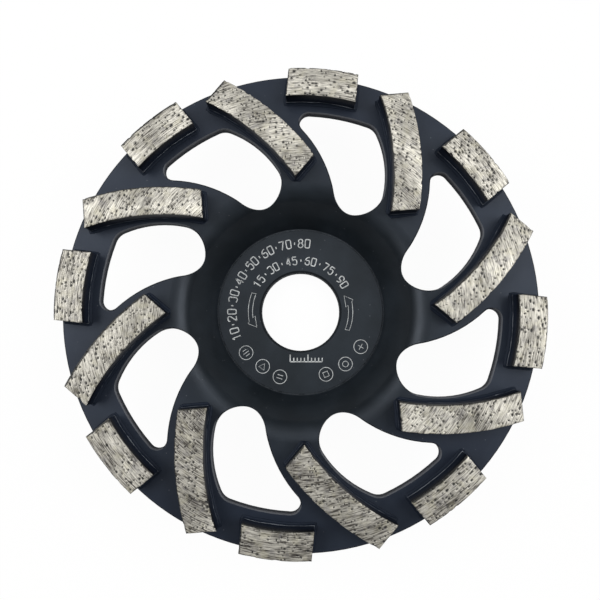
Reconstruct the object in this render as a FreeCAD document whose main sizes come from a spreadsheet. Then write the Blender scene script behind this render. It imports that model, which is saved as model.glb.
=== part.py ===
import FreeCAD, Part
import math
import os
import Sketcher

# Diamond grinding disc: a dished steel body with eight curved windows and a
# rim that carries eight long slanted and eight short diamond segments.
# Frame in millimetres: the origin is on the bore's axis at the hub's back
# face, +Z points to the side that grinds, and +X and +Y lie across the disc.

SIZES = {
    # Whole disc
    "disc_diameter": 125.0,         # over the segments
    "overall_height": 23.0,         # hub's back face to the segments' tops
    "sector_count": 8,              # equal sectors, each with a window and two segments
    "first_sector_angle": -5.7,     # degrees from +X to the first short segment's middle
    # Steel body
    "bore_diameter": 22.23,
    "bore_bevel": 0.5,
    "hub_thickness": 5.0,
    "land_diameter": 46.6,          # machined face that the flange nut clamps
    "land_bevel": 0.25,
    "relief_width": 0.5,            # turned groove round the machined face
    "relief_depth": 0.4,
    "wall_slope": 60.0,             # degrees from the hub's plane to the dish's wall
    "wall_thickness": 3.0,
    "rim_thickness": 3.0,
    "front_bend_radius": 6.0,       # wall into rim, on the side that grinds
    "back_bend_radius": 3.0,        # wall into rim, behind
    "hub_bend_radius": 3.0,         # hub into wall, behind
    "rim_bevel": 0.3,
    # Windows, with angles in degrees from the middle of the sector's short segment,
    # and each arc's radius as a share of the window's length
    "window_ledge": 2.7,            # short segment's inner face to the window's outer edge
    "window_reach": 1.97,           # how far the window cuts inside the dish's upper corner
    "tip_angle": 2.96,
    "tip_share": 0.1083,
    "shoulder_angle": -14.58,
    "shoulder_share": 0.1753,
    "belly_angle": -20.21,
    "belly_share": 0.2866,
    "hollow_edge_share": 1.4478,    # concave edge between tip and belly
    "swelling_edge_share": 1.1463,  # convex edge between belly and shoulder
    "window_bevel": 0.3,
    # Diamond segments
    "segment_width": 7.2,
    "segment_height": 5.5,
    "segment_overhang": 0.05,       # how far the segments pass the rim's edge
    "segment_bevel": 0.2,
    "short_length": 18.2,
    "long_length": 30.5,
    "long_bend_radius": 62.2,       # along the long segment's centre line
    "long_inset": 13.53,            # disc's edge to the long segment's middle
    "long_angle": 16.45,            # degrees from the short segment's middle
    "long_lean": 39.0,              # degrees from the radial direction
}


def make_sheet(document):
    sheet = document.addObject("Spreadsheet::Sheet", "sizes")
    for row, (alias, value) in enumerate(SIZES.items(), 1):
        sheet.set(f"A{row}", alias)
        sheet.set(f"B{row}", str(value))
        sheet.setAlias(f"B{row}", alias)
    document.recompute()
    return sheet


def make_body(document, label):
    body = document.addObject("PartDesign::Body", label)
    body.Label = label
    return body


def make_sketch(body, name, plane_role):
    plane = next(item for item in body.Origin.OriginFeatures if item.Role == plane_role)
    sketch = body.newObject("Sketcher::SketchObject", name)
    sketch.AttachmentSupport = [(plane, "")]
    sketch.MapMode = "FlatFace"
    return sketch


def bind(sketch, name, constraint, expression):
    # A named dimension of the sketch that follows the sheet
    index = sketch.addConstraint(constraint)
    sketch.renameConstraint(index, name)
    sketch.setExpression(f"Constraints.{name}", expression)


def polar(radius, degrees):
    angle = math.radians(degrees)
    return FreeCAD.Vector(radius * math.cos(angle), radius * math.sin(angle), 0)


def draw_polygon(sketch, points):
    # Closed outline of straight lines, joined end to end in the order given
    count = len(points)
    for index in range(count):
        sketch.addGeometry(Part.LineSegment(points[index], points[(index + 1) % count]), False)
    for index in range(count):
        sketch.addConstraint(Sketcher.Constraint("Coincident", index, 2, (index + 1) % count, 1))


def circular_edges(shape, radius, height):
    # Names of the full or part circles about the disc's axis at one radius and height
    names = []
    for number, edge in enumerate(shape.Edges, 1):
        curve = edge.Curve
        if curve.TypeId != "Part::GeomCircle":
            continue
        on_axis = math.hypot(curve.Center.x, curve.Center.y) < NEAR
        if on_axis and abs(curve.Radius - radius) < NEAR and abs(curve.Center.z - height) < NEAR:
            names.append(f"Edge{number}")
    return names


def add_edge_feature(body, kind, name, edges, size_property, expression):
    base = body.Tip
    feature = body.newObject(f"PartDesign::{kind}", name)
    feature.Base = (base, edges)
    feature.setExpression(size_property, expression)
    body.Document.recompute()
    return feature


NEAR = 0.01               # two places closer than this, in millimetres, are the same place
CENTRE_INDEX = (-1, 1)    # a sketch's own origin point
X_AXIS_INDEX = -1         # a sketch's own horizontal axis
Y_AXIS_INDEX = -2         # a sketch's own vertical axis
MATCH_SHARE = 0.01        # two volumes that differ by less than this share are the same


# Turned half section of the steel body

def draw_half_section(sketch, size):
    slope = math.tan(math.radians(size("wall_slope")))
    incline = math.sin(math.radians(size("wall_slope")))
    bore = size("bore_diameter") / 2
    land = size("land_diameter") / 2
    foot = land + size("relief_width")
    hub = size("hub_thickness")
    floor = hub - size("relief_depth")
    front = size("overall_height") - size("segment_height")
    back = front - size("rim_thickness")
    edge = size("disc_diameter") / 2 - size("segment_overhang")
    behind = foot + size("wall_thickness") / incline
    # Each line starts at its own place, given by radius and height, and ends where the next one starts
    starts = {
        "hub_back": (bore, 0),
        "wall_back": (behind - hub / slope, 0),
        "rim_back": (behind + (back - hub) / slope, back),
        "rim_edge": (edge, back),
        "rim_front": (edge, front),
        "wall_front": (foot + (front - hub) / slope, front),
        "relief": (foot - (hub - floor) / slope, floor),
        "land_side": (land, floor),
        "land_face": (land, hub),
        "bore_side": (bore, hub),
    }
    draw_polygon(sketch, [FreeCAD.Vector(radius, height, 0) for radius, height in starts.values()])
    line = {name: index for index, name in enumerate(starts)}
    for name in ("hub_back", "rim_back", "rim_front", "relief", "land_face"):
        sketch.addConstraint(Sketcher.Constraint("Horizontal", line[name]))
    for name in ("rim_edge", "land_side", "bore_side"):
        sketch.addConstraint(Sketcher.Constraint("Vertical", line[name]))
    sketch.addConstraint(Sketcher.Constraint("PointOnObject", line["hub_back"], 1, X_AXIS_INDEX))
    sketch.addConstraint(Sketcher.Constraint("Parallel", line["wall_back"], line["wall_front"]))
    tilt = math.radians(size("wall_slope"))
    bind(sketch, "wall_slope", Sketcher.Constraint("Angle", X_AXIS_INDEX, 1, line["wall_back"], 1, tilt),
         "sizes.wall_slope")
    radii = [
        ("bore_radius", "hub_back", "sizes.bore_diameter / 2"),
        ("edge_radius", "rim_edge", "sizes.disc_diameter / 2 - sizes.segment_overhang"),
        ("land_radius", "land_side", "sizes.land_diameter / 2"),
        ("foot_radius", "relief",
         "sizes.land_diameter / 2 + sizes.relief_width - sizes.relief_depth / tan(sizes.wall_slope)"),
        ("behind_radius", "wall_back",
         "sizes.land_diameter / 2 + sizes.relief_width + sizes.wall_thickness / sin(sizes.wall_slope)"
         " - sizes.hub_thickness / tan(sizes.wall_slope)"),
    ]
    for name, start, expression in radii:
        dimension = Sketcher.Constraint("DistanceX", *CENTRE_INDEX, line[start], 1, starts[start][0])
        bind(sketch, name, dimension, expression)
    heights = [
        ("hub_height", "land_face", "sizes.hub_thickness"),
        ("relief_height", "relief", "sizes.hub_thickness - sizes.relief_depth"),
        ("front_height", "rim_front", "sizes.overall_height - sizes.segment_height"),
        ("back_height", "rim_back", "sizes.overall_height - sizes.segment_height - sizes.rim_thickness"),
    ]
    for name, start, expression in heights:
        dimension = Sketcher.Constraint("DistanceY", *CENTRE_INDEX, line[start], 1, starts[start][1])
        bind(sketch, name, dimension, expression)


# Window outline: six arcs, each tangent to the next

def meet(first, first_radius, second, second_radius):
    # Where two circles cross, on the right of the way from the first centre to the second
    way = second - first
    gap = way.Length
    along = (gap ** 2 + first_radius ** 2 - second_radius ** 2) / (2 * gap)
    aside = math.sqrt(first_radius ** 2 - along ** 2)
    way.normalize()
    return first + way * along + FreeCAD.Vector(way.y, -way.x, 0) * aside


def toward(start, target, distance):
    # The point at a distance from the start, on the line through the target
    way = target - start
    way.normalize()
    return start + way * distance


def arc_between(centre, start, end):
    # Arc from start to end, counter-clockwise about its centre
    radius = (start - centre).Length
    first = math.atan2(start.y - centre.y, start.x - centre.x)
    last = math.atan2(end.y - centre.y, end.x - centre.x)
    return Part.ArcOfCircle(Part.Circle(centre, FreeCAD.Vector(0, 0, 1), radius), first, last)


def window_ends(size):
    # Radii about the disc's axis of the window's inner and outer end
    slope = math.tan(math.radians(size("wall_slope")))
    rise = size("overall_height") - size("segment_height") - size("hub_thickness")
    corner = size("land_diameter") / 2 + size("relief_width") + rise / slope
    outer = size("disc_diameter") / 2 - size("segment_width") - size("window_ledge")
    return corner - size("window_reach"), outer


OUTER_END = "(sizes.disc_diameter / 2 - sizes.segment_width - sizes.window_ledge)"
INNER_END = ("(sizes.land_diameter / 2 + sizes.relief_width - sizes.window_reach"
             " + (sizes.overall_height - sizes.segment_height - sizes.hub_thickness)"
             " / tan(sizes.wall_slope))")
WINDOW_LENGTH = f"({OUTER_END} - {INNER_END})"
BELLY_DISTANCE = f"({INNER_END} + sizes.belly_share * {WINDOW_LENGTH})"


def draw_window(sketch, size):
    inner, outer = window_ends(size)
    radius = {name: size(f"{name}_share") * (outer - inner)
              for name in ("tip", "shoulder", "belly", "hollow_edge", "swelling_edge")}
    axis = FreeCAD.Vector(0, 0, 0)
    tip = polar(outer - radius["tip"], size("tip_angle"))
    shoulder = polar(outer - radius["shoulder"], size("shoulder_angle"))
    belly = polar(inner + radius["belly"], size("belly_angle"))
    hollow = meet(tip, radius["hollow_edge"] + radius["tip"],
                  belly, radius["hollow_edge"] + radius["belly"])
    swelling = meet(shoulder, radius["swelling_edge"] - radius["shoulder"],
                    belly, radius["swelling_edge"] - radius["belly"])
    outer_to_tip = polar(outer, size("tip_angle"))
    outer_to_shoulder = polar(outer, size("shoulder_angle"))
    tip_to_hollow = toward(tip, hollow, radius["tip"])
    hollow_to_belly = toward(belly, hollow, radius["belly"])
    belly_to_swelling = toward(swelling, belly, radius["swelling_edge"])
    swelling_to_shoulder = toward(swelling, shoulder, radius["swelling_edge"])
    arcs = [
        arc_between(axis, outer_to_shoulder, outer_to_tip),
        arc_between(tip, outer_to_tip, tip_to_hollow),
        arc_between(hollow, hollow_to_belly, tip_to_hollow),
        arc_between(belly, hollow_to_belly, belly_to_swelling),
        arc_between(swelling, belly_to_swelling, swelling_to_shoulder),
        arc_between(shoulder, swelling_to_shoulder, outer_to_shoulder),
    ]
    for arc in arcs:
        sketch.addGeometry(arc, False)
    outer_arc, tip_arc, hollow_arc, belly_arc, swelling_arc, shoulder_arc = range(len(arcs))
    start, end, centre = 1, 2, 3
    joins = [
        (outer_arc, end, tip_arc, start),
        (tip_arc, end, hollow_arc, end),
        (hollow_arc, start, belly_arc, start),
        (belly_arc, end, swelling_arc, start),
        (swelling_arc, end, shoulder_arc, start),
        (shoulder_arc, end, outer_arc, start),
    ]
    for join in joins:
        sketch.addConstraint(Sketcher.Constraint("Tangent", *join))
    sketch.addConstraint(Sketcher.Constraint("Coincident", outer_arc, centre, *CENTRE_INDEX))
    bind(sketch, "outer_radius", Sketcher.Constraint("Radius", outer_arc, outer), OUTER_END)
    curved = {"tip": tip_arc, "hollow_edge": hollow_arc, "belly": belly_arc,
              "swelling_edge": swelling_arc, "shoulder": shoulder_arc}
    for name, arc in curved.items():
        bind(sketch, f"{name}_radius", Sketcher.Constraint("Radius", arc, radius[name]),
             f"sizes.{name}_share * {WINDOW_LENGTH}")
    bind(sketch, "belly_x", Sketcher.Constraint("DistanceX", *CENTRE_INDEX, belly_arc, centre, belly.x),
         f"{BELLY_DISTANCE} * cos(sizes.belly_angle)")
    bind(sketch, "belly_y", Sketcher.Constraint("DistanceY", belly_arc, centre, *CENTRE_INDEX, -belly.y),
         f"-{BELLY_DISTANCE} * sin(sizes.belly_angle)")
    rays = [
        ("tip_angle", outer_to_tip, outer_arc, end),
        ("shoulder_angle", outer_to_shoulder, outer_arc, start),
    ]
    for name, target, arc, arc_point in rays:
        ray = sketch.addGeometry(Part.LineSegment(axis, target), True)
        sketch.addConstraint(Sketcher.Constraint("Coincident", ray, start, *CENTRE_INDEX))
        sketch.addConstraint(Sketcher.Constraint("Coincident", ray, end, arc, arc_point))
        bind(sketch, name, Sketcher.Constraint("Angle", X_AXIS_INDEX, 1, ray, 1, math.radians(size(name))),
             f"sizes.{name}")


def window_rims(shape, size):
    # Names of the edges where the windows' upright walls meet the faces of the plate
    inner, outer = window_ends(size)
    names = []
    for number, edge in enumerate(shape.Edges, 1):
        middle = edge.valueAt((edge.FirstParameter + edge.LastParameter) / 2)
        distance = math.hypot(middle.x, middle.y)
        if not inner - NEAR < distance < outer + NEAR:
            continue
        faces = shape.ancestorsOfType(edge, Part.Face)
        tilts = []
        for face in faces:
            u, v = face.Surface.parameter(middle)
            tilts.append(abs(face.normalAt(u, v).z))
        if min(tilts) < NEAR < max(tilts):
            names.append(f"Edge{number}")
    return names


def make_disc_body(document, sheet):
    def size(alias):
        return float(sheet.get(alias))
    body = make_body(document, "disc_body")
    section = make_sketch(body, "half_section", "XZ_Plane")
    draw_half_section(section, size)
    document.recompute()
    turned = body.newObject("PartDesign::Revolution", "turned_plate")
    turned.Profile = section
    turned.ReferenceAxis = (section, ["V_Axis"])
    turned.Angle = 360
    document.recompute()

    slope = math.tan(math.radians(size("wall_slope")))
    front = size("overall_height") - size("segment_height")
    back = front - size("rim_thickness")
    foot = size("land_diameter") / 2 + size("relief_width")
    behind = foot + size("wall_thickness") / math.sin(math.radians(size("wall_slope")))
    hub = size("hub_thickness")
    edge = size("disc_diameter") / 2 - size("segment_overhang")
    bends = [
        ("front_bend", foot + (front - hub) / slope, front),
        ("back_bend", behind + (back - hub) / slope, back),
        ("hub_bend", behind - hub / slope, 0),
    ]
    for name, radius, height in bends:
        add_edge_feature(body, "Fillet", name, circular_edges(body.Tip.Shape, radius, height),
                         "Radius", f"sizes.{name}_radius")
    bevels = [
        ("bore_bevel", [(size("bore_diameter") / 2, 0), (size("bore_diameter") / 2, hub)]),
        ("land_bevel", [(size("land_diameter") / 2, hub)]),
        ("rim_bevel", [(edge, front), (edge, back)]),
    ]
    for name, places in bevels:
        edges = []
        for radius, height in places:
            edges += circular_edges(body.Tip.Shape, radius, height)
        add_edge_feature(body, "Chamfer", name, edges, "Size", f"sizes.{name}")

    whole = body.Tip.Shape.Volume
    outline = make_sketch(body, "window_outline", "XY_Plane")
    outline.setExpression("AttachmentOffset.Base.z", "sizes.overall_height")
    draw_window(outline, size)
    document.recompute()
    window = body.newObject("PartDesign::Pocket", "window")
    window.Profile = outline
    window.Type = "ThroughAll"
    document.recompute()
    cut = whole - window.Shape.Volume
    windows = body.newObject("PartDesign::PolarPattern", "windows")
    windows.Originals = [window]
    windows.Axis = (outline, ["N_Axis"])
    windows.Angle = 360
    windows.setExpression("Occurrences", "sizes.sector_count")
    body.Tip = windows
    document.recompute()
    lost = whole - windows.Shape.Volume
    if cut < NEAR or abs(lost - cut * size("sector_count")) > cut * MATCH_SHARE:
        raise RuntimeError(f"windows cut {lost:.1f} mm3 where one cuts {cut:.1f} mm3")
    add_edge_feature(body, "Chamfer", "window_bevels", window_rims(windows.Shape, size),
                     "Size", "sizes.window_bevel")
    body.setExpression("Placement.Rotation.Angle", "sizes.first_sector_angle")
    return body


# Diamond segments: bars bent to an arc, with square ends

def draw_bar(sketch, length, width, bend, length_expression, bend_expression):
    # The bar's middle is at the origin, its chord runs along X, and its arcs' shared centre is on +Y
    centre = FreeCAD.Vector(0, bend, 0)
    half = length / 2
    inner = bend - width / 2
    outer = bend + width / 2
    corners = {}
    for name, radius in (("inner", inner), ("outer", outer)):
        drop = bend - math.sqrt(radius ** 2 - half ** 2)
        corners[name] = (FreeCAD.Vector(-half, drop, 0), FreeCAD.Vector(half, drop, 0))
    inner_left, inner_right = corners["inner"]
    outer_left, outer_right = corners["outer"]
    outer_arc = sketch.addGeometry(arc_between(centre, outer_left, outer_right), False)
    inner_arc = sketch.addGeometry(arc_between(centre, inner_left, inner_right), False)
    left_end = sketch.addGeometry(Part.LineSegment(inner_left, outer_left), False)
    right_end = sketch.addGeometry(Part.LineSegment(inner_right, outer_right), False)
    start, end, middle = 1, 2, 3
    joins = [
        (left_end, start, inner_arc, start),
        (left_end, end, outer_arc, start),
        (right_end, start, inner_arc, end),
        (right_end, end, outer_arc, end),
        (inner_arc, middle, outer_arc, middle),
    ]
    for join in joins:
        sketch.addConstraint(Sketcher.Constraint("Coincident", *join))
    sketch.addConstraint(Sketcher.Constraint("Vertical", left_end))
    sketch.addConstraint(Sketcher.Constraint("Vertical", right_end))
    sketch.addConstraint(Sketcher.Constraint("PointOnObject", outer_arc, middle, Y_AXIS_INDEX))
    bind(sketch, "right_half", Sketcher.Constraint("DistanceX", *CENTRE_INDEX, right_end, start, half),
         f"({length_expression}) / 2")
    bind(sketch, "left_half", Sketcher.Constraint("DistanceX", left_end, start, *CENTRE_INDEX, half),
         f"({length_expression}) / 2")
    bind(sketch, "centre_height", Sketcher.Constraint("DistanceY", *CENTRE_INDEX, outer_arc, middle, bend),
         bend_expression)
    bind(sketch, "inner_radius", Sketcher.Constraint("Radius", inner_arc, inner),
         f"{bend_expression} - sizes.segment_width / 2")
    bind(sketch, "outer_radius", Sketcher.Constraint("Radius", outer_arc, outer),
         f"{bend_expression} + sizes.segment_width / 2")


def make_segment(document, sheet, label, sector, bar):
    # One bar on the rim's front face, placed by its distance, angle and lean about the disc's axis
    def size(alias):
        return float(sheet.get(alias))
    body = make_body(document, label)
    outline = make_sketch(body, f"{label}_outline", "XY_Plane")
    draw_bar(outline, bar["length"], size("segment_width"), bar["bend"],
             bar["length_expression"], bar["bend_expression"])
    document.recompute()
    block = body.newObject("PartDesign::Pad", f"{label}_block")
    block.Profile = outline
    block.setExpression("Length", "sizes.segment_height")
    document.recompute()
    top = size("segment_height")
    edges = []
    for number, edge in enumerate(block.Shape.Edges, 1):
        if all(abs(vertex.Z - top) < NEAR for vertex in edge.Vertexes):
            edges.append(f"Edge{number}")
    add_edge_feature(body, "Chamfer", f"{label}_bevel", edges, "Size", "sizes.segment_bevel")
    angle = (f"(sizes.first_sector_angle + {sector} * 360 / sizes.sector_count"
             f" + {bar['angle_expression']})")
    body.setExpression("Placement.Base.x", f"({bar['distance_expression']}) * cos({angle})")
    body.setExpression("Placement.Base.y", f"({bar['distance_expression']}) * sin({angle})")
    body.setExpression("Placement.Base.z", "sizes.overall_height - sizes.segment_height")
    body.setExpression("Placement.Rotation.Angle", f"{angle} + {bar['lean_expression']}")
    return body


def make_segments(document, sheet):
    def size(alias):
        return float(sheet.get(alias))
    edge_line = "(sizes.disc_diameter / 2 - sizes.segment_width / 2)"
    short_bar = {
        "length": size("short_length"),
        "length_expression": "sizes.short_length",
        "bend": size("disc_diameter") / 2 - size("segment_width") / 2,
        "bend_expression": edge_line,
        "distance_expression": edge_line,
        "angle_expression": "0",
        "lean_expression": "90",
    }
    long_bar = {
        "length": size("long_length"),
        "length_expression": "sizes.long_length",
        "bend": size("long_bend_radius"),
        "bend_expression": "sizes.long_bend_radius",
        "distance_expression": "sizes.disc_diameter / 2 - sizes.long_inset",
        "angle_expression": "sizes.long_angle",
        "lean_expression": "sizes.long_lean",
    }
    bodies = []
    for sector in range(int(size("sector_count"))):
        bodies.append(make_segment(document, sheet, f"long_segment_{sector + 1}", sector, long_bar))
        bodies.append(make_segment(document, sheet, f"short_segment_{sector + 1}", sector, short_bar))
    return bodies


def check(document, bodies):
    for item in document.Objects:
        if "Invalid" in item.State or "Error" in item.State:
            raise RuntimeError(f"{item.Name} failed: {item.State}")
    for body in bodies:
        if body.Shape.isNull() or not body.Shape.isValid() or len(body.Shape.Solids) != 1:
            raise RuntimeError(f"{body.Label} is not one valid solid")


def main():
    document = FreeCAD.newDocument("grinding_disc")
    sheet = make_sheet(document)
    bodies = [make_disc_body(document, sheet)] + make_segments(document, sheet)
    document.recompute()
    check(document, bodies)
    os.makedirs("parts", exist_ok=True)
    for body in bodies:
        body.Shape.exportStep(f"parts/{body.Label}.step")
        box = body.Shape.BoundBox
        print(f"{body.Label}: {body.Shape.Volume:.1f} mm3,"
              f" from {box.XMin:.2f} {box.YMin:.2f} {box.ZMin:.2f}"
              f" to {box.XMax:.2f} {box.YMax:.2f} {box.ZMax:.2f}")


main()
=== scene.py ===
import math

import bpy
import numpy
from bpy.props import FloatProperty, FloatVectorProperty, IntProperty, PointerProperty
from mathutils import Color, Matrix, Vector
from mathutils.bvhtree import BVHTree


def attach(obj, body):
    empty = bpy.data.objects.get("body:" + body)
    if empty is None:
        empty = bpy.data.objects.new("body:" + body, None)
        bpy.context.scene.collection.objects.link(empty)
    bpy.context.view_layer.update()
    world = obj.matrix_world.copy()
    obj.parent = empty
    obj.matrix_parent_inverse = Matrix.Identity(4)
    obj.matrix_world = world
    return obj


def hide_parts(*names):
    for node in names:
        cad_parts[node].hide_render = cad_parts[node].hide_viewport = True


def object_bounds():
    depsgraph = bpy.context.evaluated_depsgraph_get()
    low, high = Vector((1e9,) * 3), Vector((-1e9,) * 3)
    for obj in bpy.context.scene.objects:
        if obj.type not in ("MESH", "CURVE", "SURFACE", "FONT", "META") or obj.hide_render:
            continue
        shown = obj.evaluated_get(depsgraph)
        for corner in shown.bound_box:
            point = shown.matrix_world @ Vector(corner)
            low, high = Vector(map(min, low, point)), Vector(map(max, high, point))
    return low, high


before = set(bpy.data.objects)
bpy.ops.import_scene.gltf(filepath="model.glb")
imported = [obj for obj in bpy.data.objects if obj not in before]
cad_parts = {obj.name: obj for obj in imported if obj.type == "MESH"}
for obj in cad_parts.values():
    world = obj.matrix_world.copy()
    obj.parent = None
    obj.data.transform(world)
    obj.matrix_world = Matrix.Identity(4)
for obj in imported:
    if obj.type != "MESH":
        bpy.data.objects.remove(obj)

# Diamond grinding disc, dressed for a close look. Lengths are in millimetres,
# and MM turns them to metres where Blender takes them; only the lamps and the
# floor are in metres. The origin is on the bore's axis at the hub's back, and
# +Z is the side that grinds.

bl_info = {
    "name": "Diamond grinding disc",
    "version": (1, 0, 0),
    "blender": (4, 5, 0),
    "location": "3D View > Sidebar > Grinding disc",
    "description": "Finishes a dished steel disc with brazed diamond segments",
    "category": "Object",
}

CAD_BOX = [list(corner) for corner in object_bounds()]
MM = 0.001
TURN = 2 * math.pi

# Zones of the disc's finish, each from one radius about the bore to another
BORE_BEVEL = (10.9, 11.6)
HUB_FACE = (11.6, 23.1)
HUB_EDGE = (23.08, 23.36)
DISH = (23.4, 33.0)
BLUE_CAST_ZONE = (26.0, 50.0)
WINDOW_WALLS = (27.5, 53.5)
WINDOW_BEVELS = (33.2, 53.5)
SHORT_INNER_FLANKS = (54.9, 55.5)
RIM_EDGE = (61.3, 61.6)

# Middle of the ground faces, where patterns that follow the turn are true to their length
GRINDING_RADIUS = 55

# Seeds of the first segment and of the first bead, each followed by its neighbour's
SEGMENT_SEED = 11
BEAD_SEED = 51


def linear(code):
    """Linear red, green and blue of an sRGB hex colour such as #2b3440"""
    channels = [int(code[place:place + 2], 16) / 255 for place in (1, 3, 5)]
    return [value / 12.92 if value <= 0.04045 else ((value + 0.055) / 1.055) ** 2.4
            for value in channels]


def colour_property(name, description, code):
    return FloatVectorProperty(name=name, description=description, subtype="COLOR",
                               size=3, min=0.0, max=1.0, default=linear(code))


def length_property(name, description, millimetres):
    return FloatProperty(name=name, description=description, subtype="DISTANCE",
                         unit="LENGTH", precision=4, min=0.0, default=millimetres * MM)


def angle_property(name, description, degrees):
    return FloatProperty(name=name, description=description, subtype="ANGLE",
                         default=math.radians(degrees))


def share_property(name, description, value):
    return FloatProperty(name=name, description=description, subtype="FACTOR",
                         min=0.0, max=1.0, default=value)


# Settings

class SteelBodySettings(bpy.types.PropertyGroup):
    hub_paint: colour_property("Hub paint", "Enamel on the flat hub and its spokes", "#12171a")
    # Navy enamel used out on the rim, its blue partly a painted reflection of blue light
    rim_paint: colour_property("Rim paint", "Enamel out on the rim, a little bluer", "#151c29")
    # Dark colour of the painted shade on the dish's sloping wall and the foot of the windows' walls
    dish_paint: colour_property("Dish paint", "Thick enamel on the dish's sloping wall", "#12171b")
    haze: colour_property("Haze", "Cloudy places where the enamel dried dull", "#3f4852")
    gloss_tint: colour_property("Gloss tint", "Blue cast of the enamel's gloss", "#e6f0ff")
    window_wall: colour_property("Window wall", "Thinly coated cut steel in the windows", "#56545a")
    wall_shade: colour_property("Wall shade", "Shear marks in the windows' cut walls", "#353234")
    # Pale colour of the painted highlight on bevels that face the bore
    thin_bevel: colour_property("Thin bevel", "Enamel drawn thin over a bevel", "#525458")
    # Dark colour of the painted shade on bevels that face out and on the bore's bevel
    pooled_bevel: colour_property("Pooled bevel", "Enamel that ran together on a bevel", "#0a0d10")
    # Pale steel grey of the painted highlights on the hub's edge and the braze's upper edge
    worn_edge: colour_property("Worn edge", "Steel that shows through at turned edges", "#7e838a")
    dust: colour_property("Dust", "Grinding dust that lies on the enamel", "#898b90")
    roughness: share_property("Roughness", "Roughness of the enamel", 0.42)
    peel_size: length_property("Peel size", "Spacing of the enamel's orange peel", 0.7)


class SegmentSettings(bpy.types.PropertyGroup):
    width: length_property("Width", "Across a segment", 7.2)
    height: length_property("Height", "Above the rim", 5.5)
    short_length: length_property("Short length", "Along a short segment's chord", 18.2)
    long_length: length_property("Long length", "Along a long segment's chord", 30.5)
    long_bend: length_property("Long bend", "Radius of a long segment's centre line", 62.2)
    long_inset: length_property("Long inset", "Disc's edge to a long segment's middle", 13.53)
    long_angle: angle_property("Long angle", "From the short segment's middle", 16.45)
    long_lean: angle_property("Long lean", "From the radial direction", 39.0)
    spared: length_property("Spared border", "Enamel left where the disc leaned off its work", 0.42)
    lean: angle_property("Lean", "Side of the disc that leaned off its work", 135.0)
    # Painted shade: the faces on one side of the disc are made darker
    clogging: share_property("Clogging", "Darkening by swarf on the fullest faces", 0.6)
    clogged_side: angle_property("Clogged side", "Side whose faces hold the most swarf", 255.0)
    mesh_step: length_property("Mesh step", "Spacing of the ground face's points", 0.15)
    pale_metal: colour_property("Pale metal", "Freshly ground bond between the scratches", "#e8e4d8")
    dull_metal: colour_property("Dull metal", "Bond in the scratches and smears", "#46423d")
    cream_patch: colour_property("Cream patch", "Bond smeared pale and warm", "#bfbaa4")
    grey_patch: colour_property("Grey patch", "Bond smeared dark and cool", "#6e6c71")
    grit: colour_property("Grit", "Diamonds that still stand in the bond", "#6f6e63")
    pit: colour_property("Pit", "Holes that lost diamonds leave, filled with swarf", "#15150f")
    flank: colour_property("Flank", "Enamel over the sintered flanks", "#161d2a")
    # Near black towards the top of the flanks and on the face's ragged border
    soot: colour_property("Soot", "Burnt skin high up on the flanks", "#030307")


class FilletSettings(bpy.types.PropertyGroup):
    leg: length_property("Leg", "How far the braze runs out on the rim", 0.8)
    rise: length_property("Rise", "How far the braze climbs up the segment", 0.7)
    lip: length_property("Lip", "Width of the braze's upper edge", 0.1)
    paint: colour_property("Paint", "Enamel over the braze", "#141b27")


class MarkSettings(bpy.types.PropertyGroup):
    height: length_property("Height", "Top of the hub's face", 5.0)
    stroke: length_property("Stroke", "Width of a laser stroke", 0.3)
    outer_radius: length_property("Outer radius", "Middle of the outer row of numbers", 19.4)
    inner_radius: length_property("Inner radius", "Middle of the inner row of numbers", 14.5)
    colour: colour_property("Colour", "Enamel turned pale by the laser", "#c8cbcb")
    faint: colour_property("Faint", "Enamel under a beam that moved fast", "#303235")


class StudioSettings(bpy.types.PropertyGroup):
    floor: colour_property("Floor", "Pale floor under the disc", "#f4f4f2")
    fibre: colour_property("Fibre", "Fibres in the floor's card", "#bcbcbc")
    whiteness: share_property("Whiteness", "Share of the floor that is seen as plain white", 0.96)
    sky_strength: FloatProperty(name="Sky strength", description="Even light from all round",
                                min=0.0, default=0.23)
    key_power: FloatProperty(name="Key power", description="Large soft lamp overhead",
                             unit="POWER", min=0.0, default=2.3)
    side_power: FloatProperty(name="Side power", description="Soft lamps at the left and right",
                              unit="POWER", min=0.0, default=2.7)
    focal_length: FloatProperty(name="Focal length", description="Camera lens, for a 36 mm sensor",
                                unit="CAMERA", subtype="DISTANCE_CAMERA", default=36.23)


class GrindingDiscSettings(bpy.types.PropertyGroup):
    diameter: length_property("Diameter", "Over the segments", (CAD_BOX[1][0] - CAD_BOX[0][0]) / MM)
    overall_height: length_property("Overall height", "Hub's back to the ground faces",
                                    (CAD_BOX[1][2] - CAD_BOX[0][2]) / MM)
    sectors: IntProperty(name="Sectors", description="Equal sectors of the disc", default=8, min=1)
    first_angle: angle_property("First angle", "Middle of the first short segment", -5.7)
    body: PointerProperty(type=SteelBodySettings)
    segment: PointerProperty(type=SegmentSettings)
    fillet: PointerProperty(type=FilletSettings)
    mark: PointerProperty(type=MarkSettings)
    studio: PointerProperty(type=StudioSettings)


# Materials

WHITE = (1, 1, 1, 1)
SMOOTH = {"interpolation_type": "SMOOTHSTEP"}


def add(tree, kind, inputs=(), **settings):
    """Adds a shader node with its settings, and fills its inputs by name or in order

    A number or colour is set on the input. A socket, or a node's first output, is linked.
    """
    made = tree.nodes.new("ShaderNode" + kind)
    for name, value in settings.items():
        setattr(made, name, value)
    sockets = [socket for socket in made.inputs if socket.enabled]
    if isinstance(inputs, dict):
        sockets = [made.inputs[name] for name in inputs]
        inputs = inputs.values()
    for socket, value in zip(sockets, inputs):
        if isinstance(value, bpy.types.Node):
            value = next(output for output in value.outputs if output.enabled)
        if isinstance(value, bpy.types.NodeSocket):
            tree.links.new(value, socket)
        else:
            socket.default_value = (*value, 1.0) if isinstance(value, Color) else value
    return made


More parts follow.
